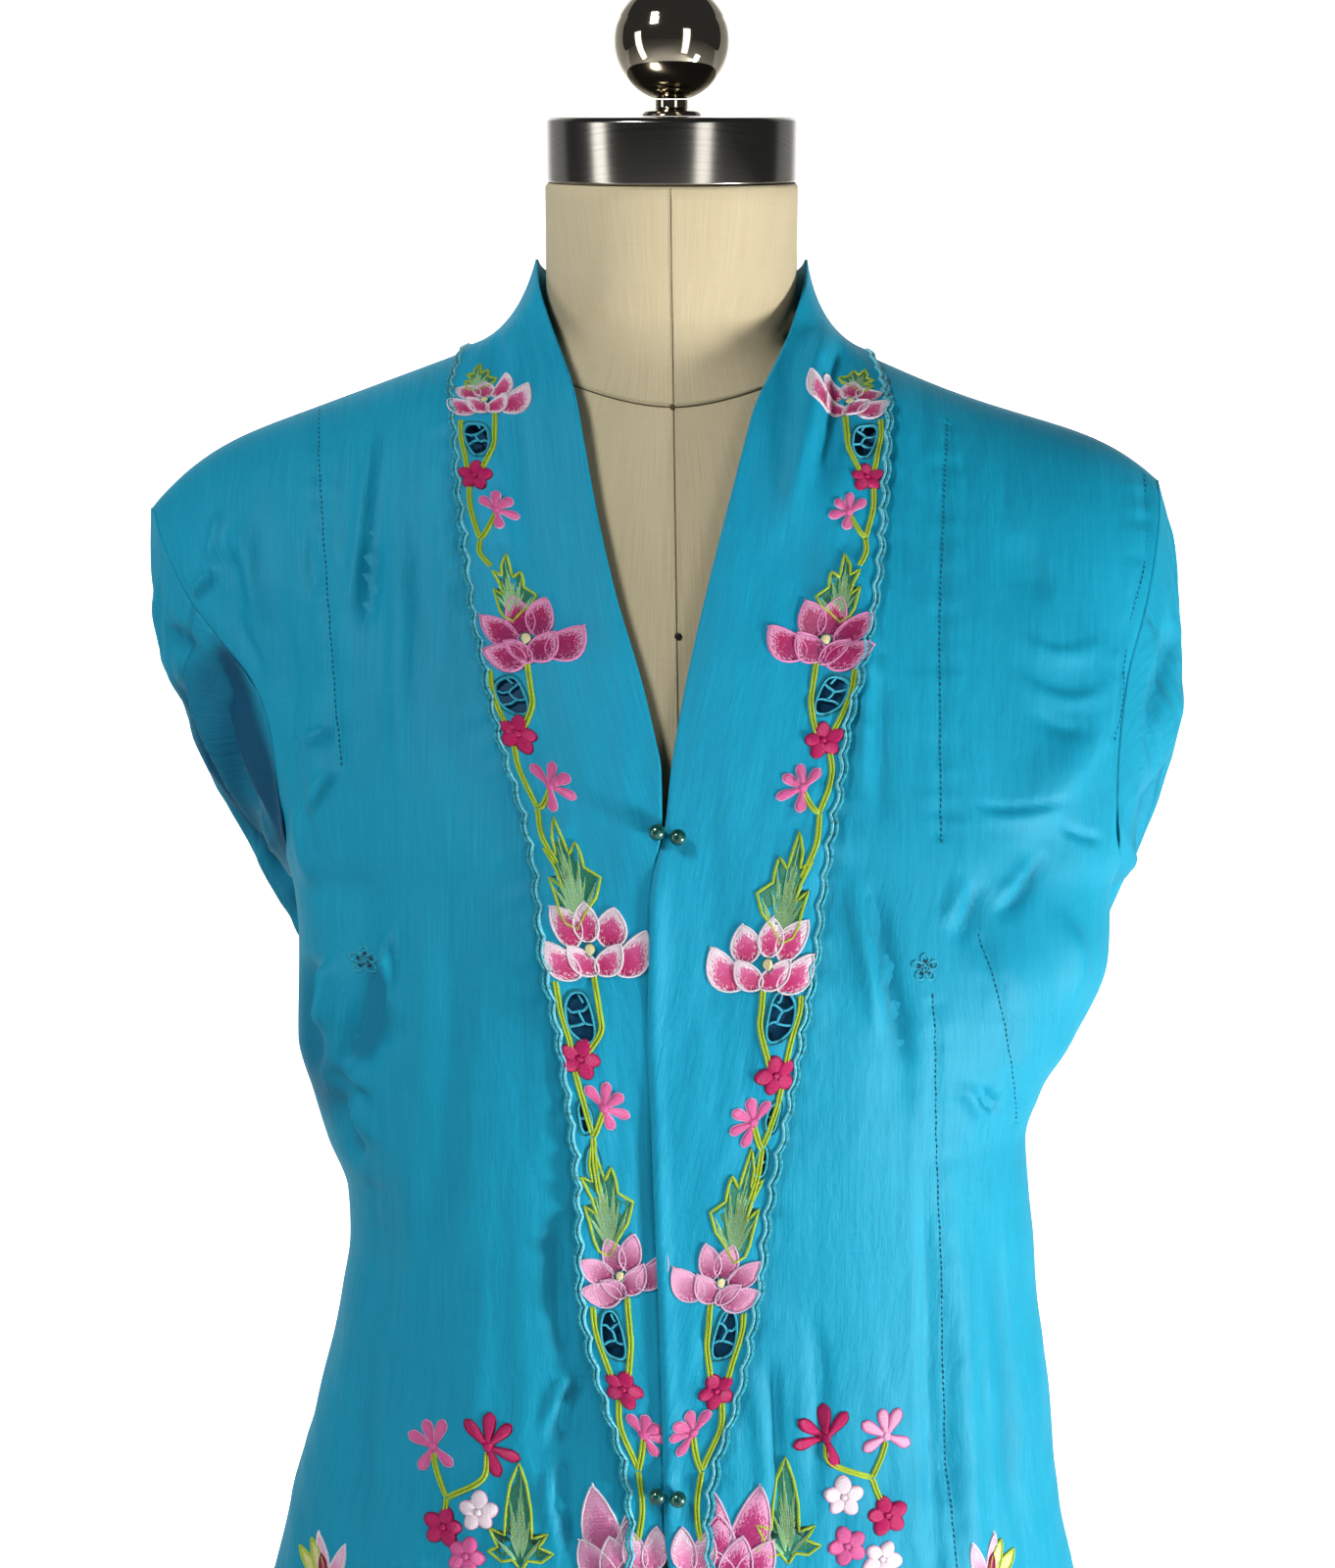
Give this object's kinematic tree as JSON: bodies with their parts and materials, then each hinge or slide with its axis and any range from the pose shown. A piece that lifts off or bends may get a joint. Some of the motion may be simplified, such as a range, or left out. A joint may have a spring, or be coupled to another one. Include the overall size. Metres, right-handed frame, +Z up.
{
  "type": "peranakan blouse on a dress form",
  "caption": "Fitted long-sleeved front-opening blouse with embroidered lapel bands, worn by a limbless linen dress form on a round counter stand.",
  "frame": {"origin": "centre of the stand base's underside", "axes": "+Z up; the blouse faces -Y, and the wearer's left side is +X"},
  "size_m": [0.465, 0.32, 1.1716],
  "materials": {
    "turquoise_cotton": "plain-woven turquoise cotton, matt with a faint sheen",
    "lapel_cotton": "the same cotton, stitched with lotus flowers, leaves and a cord edge",
    "linen": "fine beige linen cover with centre and neck seams",
    "brushed_steel": "satin brushed steel",
    "chrome": "polished chrome",
    "green_pearl": "dark teal-green pearl lustre"
  },
  "bodies": {
    "root": {"front_right": "turquoise_cotton", "front_left": "turquoise_cotton", "back": "turquoise_cotton", "sleeve_right": "turquoise_cotton", "sleeve_left": "turquoise_cotton", "lapel_right": "lapel_cotton", "lapel_left": "lapel_cotton", "collar_back": "lapel_cotton", "bead_upper_right": "green_pearl", "bead_upper_left": "green_pearl", "bead_lower_right": "green_pearl", "bead_lower_left": "green_pearl", "form_body": "linen", "neck_cap": "brushed_steel", "neck_stem": "brushed_steel", "neck_ball": "chrome", "pole_flange": "brushed_steel", "pole": "brushed_steel", "base": "brushed_steel"}
  },
  "joints": []
}
